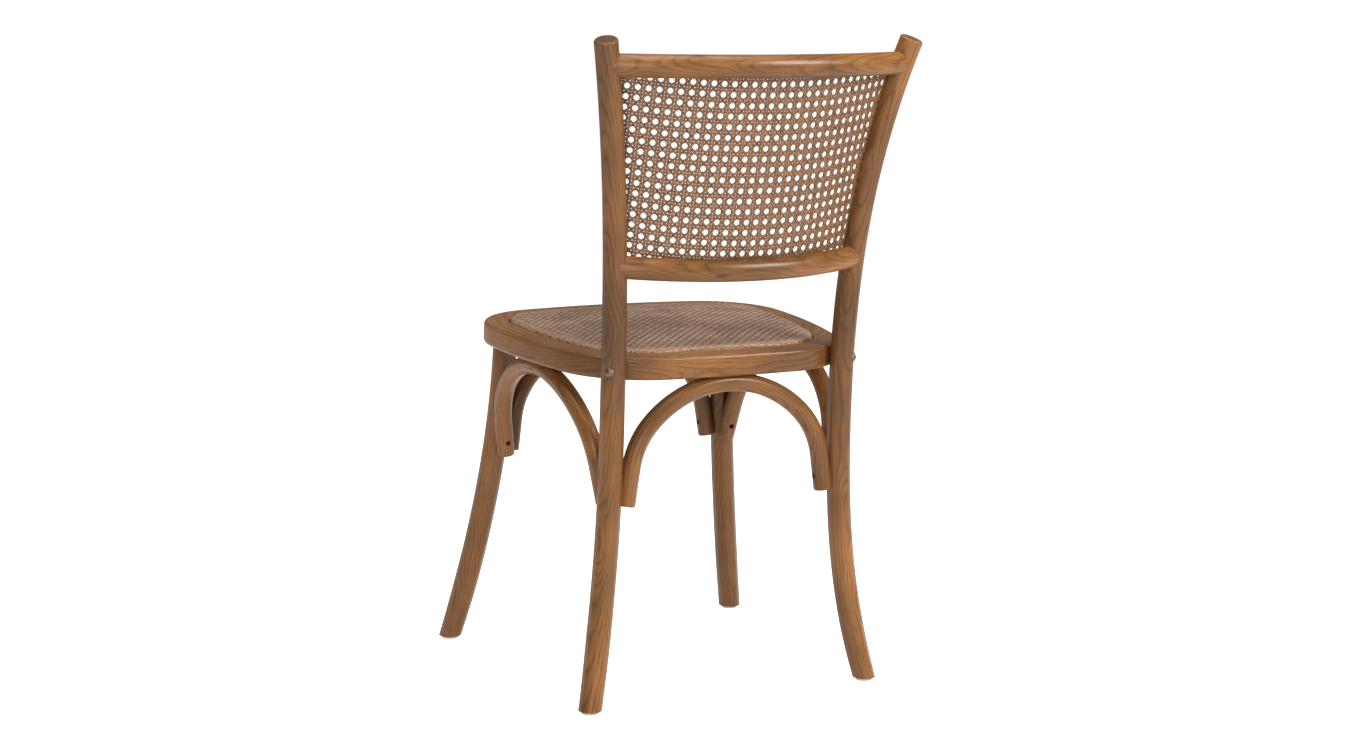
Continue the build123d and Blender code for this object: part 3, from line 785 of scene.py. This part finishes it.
def laid_out(point):
    """Point of the flat sheet, stretched upwards and laid against the lower rail."""
    return Vector((point.x, point.y * weave_stretch, point.z)) + sheet_corner


def on_cone(flat):
    """Place along the bow and height above the lower rail, for a point of the flat sheet."""
    reach = hypot(flat.x, flat.y + cone_reach)
    return atan2(flat.x, flat.y + cone_reach) * reach, reach - cone_reach


bpy.ops.object.mode_set(mode="EDIT")
bpy.ops.mesh.select_mode(type="FACE")
bpy.ops.mesh.select_all(action="DESELECT")
mesh = bmesh.from_edit_mesh(cane.data)
for face in mesh.faces:
    along, rise = on_cone(laid_out(face.calc_center_median()))
    between_rails = -cane_trim < rise < panel_height + cane_trim
    face.select_set(not (between_rails and abs(along) < panel_arc(rise)[3] - cane_trim))
bmesh.update_edit_mesh(cane.data)
bpy.ops.mesh.delete(type="FACE")
bpy.ops.object.mode_set(mode="OBJECT")
worked(cane, "SOLIDIFY", thickness=cane_thickness, offset=-1)
shadow_width = 0.01
shadow = cane.data.attributes.new("shadow", "FLOAT", "POINT")
for vertex in cane.data.vertices:
    flat = laid_out(vertex.co)
    along, rise = on_cone(flat)
    hub, out, radius, half = panel_arc(rise)
    away = Vector((sin(along / radius), 0, 0)) + out * cos(along / radius)
    from_post = half - post_across / 2 - abs(along)
    shadow.data[vertex.index].value = max(0, 1 - from_post / shadow_width)
    vertex.co = hub + away * (radius + flat.z)
face_outwards()
bpy.ops.object.shade_smooth_by_angle(angle=radians(50))


def blended(node, kind, share=1.0):
    """Mix of two tones."""
    mix = node("ShaderNodeMix")
    mix.data_type, mix.blend_type = "RGBA", kind
    mix.inputs[0].default_value = share
    return mix


stained_cane, node, wire, shader = new_finish("stained_cane")
shader.inputs["Specular IOR Level"].default_value = 0.35
place = node("ShaderNodeTexCoord")
stain = mottle(node, 260, 5)
cane_tone = two_tone(node, (0.085, 0.037, 0.015), (0.3, 0.145, 0.062), 0.32, 0.72)
beside_post = node("ShaderNodeAttribute")
beside_post.attribute_name = "shadow"
darkened = blended(node, "MIX")
darkened.inputs[7].default_value = (0.012, 0.007, 0.004, 1)
gloss = ranged(node, 0.6, 0.35)
bump = bumped(node, 0.3, 0.0003)
wire(place.outputs["Object"], stain.inputs["Vector"])
wire(stain.outputs["Fac"], cane_tone.inputs["Fac"])
wire(stain.outputs["Fac"], gloss.inputs["Value"])
wire(stain.outputs["Fac"], bump.inputs["Height"])
wire(beside_post.outputs["Fac"], darkened.inputs[0])
wire(cane_tone.outputs["Color"], darkened.inputs[6])
wire(darkened.outputs[2], shader.inputs["Base Color"])
wire(gloss.outputs["Result"], shader.inputs["Roughness"])
wire(bump.outputs["Normal"], shader.inputs["Normal"])
cane.data.materials.append(stained_cane)
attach(cane, "root")
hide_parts("cane_panel")

# Seat board: a plywood board that lies on the ring's ledge, screwed up through it from below.
# The rail dowels are turned from the same raw pale wood.
raw_wood, node, wire, shader = new_finish("raw_wood")
place = node("ShaderNodeTexCoord")
turned = node("ShaderNodeMapping")
turned.inputs["Rotation"].default_value = (pi / 2, 0, 0)
turned.inputs["Location"].default_value = (0.2, 0.05, 0)
figure = node("ShaderNodeGroup")
figure.node_tree = wood_figure_group
figure.inputs["Late Wood"].default_value = (0.6, 0.42, 0.24, 1)
figure.inputs["Early Wood"].default_value = (0.45, 0.29, 0.15, 1)
figure.inputs["Pore"].default_value = (0.26, 0.16, 0.08, 1)
figure.inputs["Ring Width"].default_value = 0.014
bump = bumped(node, 0.3, 0.0004)
wire(place.outputs["Object"], turned.inputs["Vector"])
wire(turned.outputs["Vector"], figure.inputs["Board"])
wire(figure.outputs["Colour"], shader.inputs["Base Color"])
wire(figure.outputs["Roughness"], shader.inputs["Roughness"])
wire(figure.outputs["Height"], bump.inputs["Height"])
wire(bump.outputs["Normal"], shader.inputs["Normal"])
dress("seat_board", raw_wood)
dress("rail_dowels", raw_wood)

# Woven seat: a tight two-and-two twill of split rattan over thin padding, on the seat board.
# The pad is crowned, its sides are drawn in, and a narrow dark gap parts it from the ring.
strand_pitch, rib_depth, rib_fade_share, rib_phase, rib_power = 0.0032, 0.0008, 0.08, 0.125, 0.7
pad_inset, pad_edge_rise, pad_crown, crown_power = 0.0425, 0.0042, 0.008, 2.4
roll_radius, roll_angle, under_roll, under_drop = 0.006, radians(150), 0.0015, 0.0014
base_inset, base_rise, rolled_mark = 0.0375, -0.003, 1.1
pad_rings, pad_crown_ring, pad_roll_ring = 128, 104, 120
pad_stations = seat_outline(3)
bpy.ops.object.select_all(action="DESELECT")
bpy.ops.mesh.primitive_uv_sphere_add(segments=len(pad_stations), ring_count=pad_rings, radius=1)
pad = bpy.context.object
pad.name = pad.data.name = "woven_pad"
edge_mark = pad.data.attributes.new("edge", "FLOAT", "POINT")
pad_middle = Vector((0, ring_middle_y))
for vertex in pad.data.vertices:
    turn = atan2(vertex.co.y, vertex.co.x)
    station = pad_stations[round(turn / (2 * pi) * len(pad_stations)) % len(pad_stations)]
    ring = round((pi / 2 - asin(max(-1, min(1, vertex.co.z)))) / pi * pad_rings)
    mark = rolled_mark
    if ring <= pad_crown_ring:
        share, inset = ring / pad_crown_ring, pad_inset
        rise = pad_edge_rise + pad_crown * (1 - share ** crown_power)
        mark = share * share
    elif ring <= pad_roll_ring:
        roll = (ring - pad_crown_ring) / (pad_roll_ring - pad_crown_ring) * roll_angle
        upper, lower = min(roll, pi / 2), max(roll, pi / 2)
        share, inset = 1, pad_inset - roll_radius * sin(upper) + under_roll * (1 - sin(lower))
        rise = pad_edge_rise - roll_radius + roll_radius * cos(upper) + under_drop * cos(lower)
    else:
        share, inset = (pad_rings - ring) / (pad_rings - pad_roll_ring), base_inset
        rise = base_rise
    spot = pad_middle + (drawn_in(station, inset) - pad_middle) * share
    rib = abs(sin(pi * ((spot.x - spot.y) / (4 * strand_pitch) - rib_phase)))
    rise += rib_depth * (rib ** rib_power - 1) * min((1 - share) / rib_fade_share, 1)
    edge_mark.data[vertex.index].value = mark
    vertex.co = seat @ Vector((*spot, rise))
face_outwards()
bpy.ops.object.shade_smooth()


def twill():
    """Two-and-two twill of flat strands, for a point given in strand widths."""
    group = bpy.data.node_groups.new("twill", "ShaderNodeTree")
    group.interface.new_socket(name="Strands", in_out="INPUT", socket_type="NodeSocketVector")
    for name in ("Height", "Strand", "Fibre", "Rib"):
        group.interface.new_socket(name=name, in_out="OUTPUT", socket_type="NodeSocketFloat")
    node, wire, sums = group.nodes.new, group.links.new, sums_in(group)
    inlet, outlet = node("NodeGroupInput"), node("NodeGroupOutput")

    def either(choice, first, second):
        return sums("MULTIPLY_ADD", choice, sums("SUBTRACT", second, first), first)

    def paired(first, second):
        point = node("ShaderNodeCombineXYZ")
        wire(first, point.inputs[0])
        wire(second, point.inputs[1])
        return point.outputs[0]

    split = node("ShaderNodeSeparateXYZ")
    wire(inlet.outputs["Strands"], split.inputs["Vector"])
    u, v = split.outputs[0], split.outputs[1]
    column, row = sums("FLOOR", u), sums("FLOOR", v)
    phase = sums("FLOORED_MODULO", sums("SUBTRACT", column, row), 4)
    warp = sums("LESS_THAN", phase, 1.5)
    along_warp = sums("MULTIPLY", sums("ADD", sums("SUBTRACT", 1, phase), sums("FRACT", v)), 0.5)
    along_weft = sums("MULTIPLY", sums("ADD", sums("SUBTRACT", phase, 2), sums("FRACT", u)), 0.5)
    along = either(warp, along_weft, along_warp)
    across = either(warp, sums("FRACT", v), sums("FRACT", u))
    belly = sums("POWER", sums("SINE", sums("MULTIPLY", along, pi)), 0.7)
    round_back = sums("POWER", sums("SINE", sums("MULTIPLY", across, pi)), 0.5)
    wire(sums("MULTIPLY", round_back, sums("MULTIPLY_ADD", belly, 0.6, 0.4)), outlet.inputs["Height"])
    lot = node("ShaderNodeTexWhiteNoise")
    wire(paired(either(warp, row, column), sums("MULTIPLY", warp, 7.3)), lot.inputs["Vector"])
    fine, drawn_out = 9, 0.35
    fibre_across = either(warp, sums("MULTIPLY", v, fine), sums("MULTIPLY", u, fine))
    fibre_along = either(warp, sums("MULTIPLY", u, drawn_out), sums("MULTIPLY", v, drawn_out))
    fibre = mottle(node, 1, 3)
    wire(paired(fibre_across, fibre_along), fibre.inputs["Vector"])
    wire(lot.outputs["Value"], outlet.inputs["Strand"])
    wire(fibre.outputs["Fac"], outlet.inputs["Fibre"])
    rib_turn = sums("MULTIPLY_ADD", sums("SUBTRACT", u, v), pi / 4, -pi / 8)
    wire(sums("ABSOLUTE", sums("SINE", rib_turn)), outlet.inputs["Rib"])
    return group


woven_rattan, node, wire, shader = new_finish("woven_rattan")
shader.inputs["Specular IOR Level"].default_value = 0.4
place = node("ShaderNodeTexCoord")
counted = node("ShaderNodeMapping")
counted.inputs["Scale"].default_value = (1 / strand_pitch, 1 / strand_pitch, 1)
weave = node("ShaderNodeGroup")
weave.node_tree = twill()
lot_tone = two_tone(node, (0.15, 0.073, 0.041), (0.63, 0.405, 0.275))
lot_mix = node("ShaderNodeMath")
lot_mix.operation = "MULTIPLY_ADD"
lot_mix.inputs[1].default_value = 0.5
fibre_part = node("ShaderNodeMath")
fibre_part.operation = "MULTIPLY"
fibre_part.inputs[1].default_value = 0.55
# Painted shade: broad darker patches stand in for the shade of an uneven pad.
patch = mottle(node, 16, 3)
patch_shade_tone = two_tone(node, (0.62, 0.6, 0.6), (1, 1, 1), 0.38, 0.62)
patched = blended(node, "MULTIPLY", 0.75)
rim = node("ShaderNodeAttribute")
rim.attribute_name = "edge"
rim_share = ranged(node, 0, 0.55, 0.95, 1.05)
golden = blended(node, "MIX")
golden.inputs[7].default_value = (0.46, 0.27, 0.125, 1)
# Painted shade: each strand is darkened towards its edges and into the gaps between strands, partly the dark
# gaps and partly painted shade in the crevices.
gap_shade_tone = two_tone(node, (0.12, 0.1, 0.09), (1, 1, 1), 0.2, 0.74)
shaded = blended(node, "MULTIPLY", 0.9)
# Painted shade: the valleys between the diagonal ribs are darkened.
valley_shade_tone = two_tone(node, (0.34, 0.3, 0.28), (1, 1, 1), 0.08, 0.6)
rib_fade = ranged(node, 1, 0.2, 0.9, 1.0)
ribbed = blended(node, "MULTIPLY")
satin = ranged(node, 0.65, 0.42)
relief = bumped(node, 0.8, 0.0008)
wire(place.outputs["Object"], counted.inputs["Vector"])
wire(counted.outputs["Vector"], weave.inputs["Strands"])
wire(place.outputs["Object"], patch.inputs["Vector"])
wire(weave.outputs["Fibre"], fibre_part.inputs[0])
wire(weave.outputs["Strand"], lot_mix.inputs[0])
wire(fibre_part.outputs[0], lot_mix.inputs[2])
wire(lot_mix.outputs[0], lot_tone.inputs["Fac"])
wire(patch.outputs["Fac"], patch_shade_tone.inputs["Fac"])
wire(lot_tone.outputs["Color"], patched.inputs[6])
wire(patch_shade_tone.outputs["Color"], patched.inputs[7])
wire(rim.outputs["Fac"], rim_share.inputs["Value"])
wire(rim_share.outputs["Result"], golden.inputs[0])
wire(patched.outputs[2], golden.inputs[6])
wire(weave.outputs["Height"], gap_shade_tone.inputs["Fac"])
wire(golden.outputs[2], shaded.inputs[6])
wire(gap_shade_tone.outputs["Color"], shaded.inputs[7])
wire(rim.outputs["Fac"], rib_fade.inputs["Value"])
wire(rib_fade.outputs["Result"], ribbed.inputs[0])
wire(weave.outputs["Rib"], valley_shade_tone.inputs["Fac"])
wire(shaded.outputs[2], ribbed.inputs[6])
wire(valley_shade_tone.outputs["Color"], ribbed.inputs[7])
wire(ribbed.outputs[2], shader.inputs["Base Color"])
wire(weave.outputs["Fibre"], satin.inputs["Value"])
wire(satin.outputs["Result"], shader.inputs["Roughness"])
wire(weave.outputs["Height"], relief.inputs["Height"])
wire(relief.outputs["Normal"], shader.inputs["Normal"])
pad.data.materials.append(woven_rattan)
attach(pad, "root")
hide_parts("woven_seat")

# Seat bolts: a dome head in dark bronze on the outer rear flat of each rear post.
# The bolt goes through the post and the ring's corner to a washer and a nut in a pocket.
dome_radius, dome_height, bolt_z, dome_out, dome_weld = 0.0062, 0.0045, 0.4488, 0.0146, 1e-6
bronze = worn_metal("dark_bronze", (0.13, 0.09, 0.065), (0.28, 0.205, 0.155), 0.42)
heads = []
for side in (-1, 1):
    bpy.ops.object.select_all(action="DESELECT")
    bpy.ops.mesh.primitive_uv_sphere_add(segments=32, ring_count=20, radius=1)
    head = bpy.context.object
    for vertex in head.data.vertices:
        vertex.co.x *= dome_radius
        vertex.co.y *= dome_radius
        vertex.co.z = max(vertex.co.z, 0) * dome_height
    outwards = Vector((side, 1, 0)).normalized()
    site = post_line(bolt_z)
    site.x *= side
    head.rotation_euler = outwards.to_track_quat("Z", "Y").to_euler()
    head.location = site + outwards * dome_out
    bpy.ops.object.transform_apply(location=True, rotation=True, scale=True)
    heads.append(head)
bolts = join_pieces(heads, heads[-1], "seat_bolt_heads")
face_outwards(dome_weld)
bpy.ops.object.shade_smooth_by_angle(angle=crease_angle)
bolts.data.materials.append(bronze)
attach(bolts, "root")
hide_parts("seat_bolts")

# Glides: a round off-white button of hard moulded plastic nailed under each foot.
# Its lower edge is eased, and its face is scuffed by the floor.
glide_radius, glide_sides, glide_easing = 0.011, 40, 0.0012
pale_plastic, node, wire, shader = new_finish("pale_plastic")
place = node("ShaderNodeTexCoord")
scuff = mottle(node, 320, 4)
scuff_tone = two_tone(node, (0.5, 0.46, 0.41), (0.8, 0.78, 0.74))
matt = ranged(node, 0.7, 0.5)
wire(place.outputs["Object"], scuff.inputs["Vector"])
wire(scuff.outputs["Fac"], scuff_tone.inputs["Fac"])
wire(scuff.outputs["Fac"], matt.inputs["Value"])
wire(scuff_tone.outputs["Color"], shader.inputs["Base Color"])
wire(matt.outputs["Result"], shader.inputs["Roughness"])
for name, line, side in (
    ("glide_rear_left", post_line, 1),
    ("glide_rear_right", post_line, -1),
    ("glide_front_left", leg_line, 1),
    ("glide_front_right", leg_line, -1),
):
    site = line(foot_height)
    bpy.ops.object.select_all(action="DESELECT")
    bpy.ops.mesh.primitive_cylinder_add(
        vertices=glide_sides, radius=glide_radius, depth=foot_height,
        location=(site.x * side, site.y, foot_height / 2)
    )
    glide = bpy.context.object
    glide.name = glide.data.name = name + "_button"
    bpy.ops.object.transform_apply(location=True, rotation=True, scale=True)
    ease_end(glide, 0, glide_easing)
    bpy.ops.object.shade_smooth_by_angle(angle=crease_angle)
    glide.data.materials.append(pale_plastic)
    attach(glide, "root")
    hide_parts(name)

# Floor, soft studio light and camera: a white sweep, a key light high on the camera's right,
# a wide light overhead and a soft fill beside the camera.
bpy.ops.object.select_all(action="DESELECT")
bpy.ops.mesh.primitive_plane_add(size=60)
sweep = bpy.context.object
sweep.name = "studio_floor"
pale_floor, node, wire, shader = new_finish("pale_floor")
shader.inputs["Base Color"].default_value = (0.8, 0.8, 0.8, 1)
shader.inputs["Roughness"].default_value = 0.9
shader.inputs["Emission Strength"].default_value = 0.88
seen = node("ShaderNodeLightPath")
glow = blended(node, "MIX")
glow.inputs[6].default_value = (0.35, 0.35, 0.35, 1)
glow.inputs[7].default_value = (1, 1, 1, 1)
wire(seen.outputs["Is Camera Ray"], glow.inputs[0])
wire(glow.outputs[2], shader.inputs["Emission Color"])
sweep.data.materials.append(pale_floor)
world = bpy.data.worlds.new("studio")
world.use_nodes = True
nodes, wire = world.node_tree.nodes, world.node_tree.links.new
backdrop = nodes["Background"]
behind = nodes.new("ShaderNodeBackground")
for sheet, strength in ((backdrop, 0.2), (behind, 1.1)):
    sheet.inputs["Color"].default_value = (1, 1, 1, 1)
    sheet.inputs["Strength"].default_value = strength
seen = nodes.new("ShaderNodeLightPath")
either = nodes.new("ShaderNodeMixShader")
wire(seen.outputs["Is Camera Ray"], either.inputs[0])
wire(backdrop.outputs[0], either.inputs[1])
wire(behind.outputs[0], either.inputs[2])
wire(either.outputs[0], nodes["World Output"].inputs["Surface"])
bpy.context.scene.world = world
bpy.context.scene.view_settings.view_transform = "Standard"
lit_point = Vector((0, 0, 0.45))
for name, spot, size, power in (
    ("key_light", (-1.9, 2.6, 2.5), 1.2, 112),
    ("overhead_light", (0.3, 0.2, 3.0), 2.2, 62),
    ("fill_light", (2.0, 3.3, 1.5), 1.4, 48),
):
    lamp = bpy.data.lights.new(name, "AREA")
    lamp.size, lamp.energy = size, power
    holder = bpy.data.objects.new(name, lamp)
    bpy.context.scene.collection.objects.link(holder)
    holder.location = spot
    holder.rotation_euler = (lit_point - Vector(spot)).to_track_quat("-Z", "Y").to_euler()
camera = bpy.data.objects.new("camera", bpy.data.cameras.new("camera"))
bpy.context.scene.collection.objects.link(camera)
camera.data.sensor_fit, camera.data.sensor_width = "HORIZONTAL", 36
camera.data.lens = 73.08
camera_spot = (1.71277, 3.34519, 1.02901)
swing, look_down, roll = 0.4749, 0.163, 0.0175
right = Vector((-cos(swing), sin(swing), 0))
forward = Vector((-sin(swing) * cos(look_down), -cos(swing) * cos(look_down), -sin(look_down)))
upright = right.cross(forward)
level = right * cos(roll) + upright * sin(roll)
upright = upright * cos(roll) - right * sin(roll)
facing = Matrix((level, upright, -forward)).transposed().to_4x4()
camera.matrix_world = Matrix.Translation(camera_spot) @ facing
bpy.context.scene.camera = camera
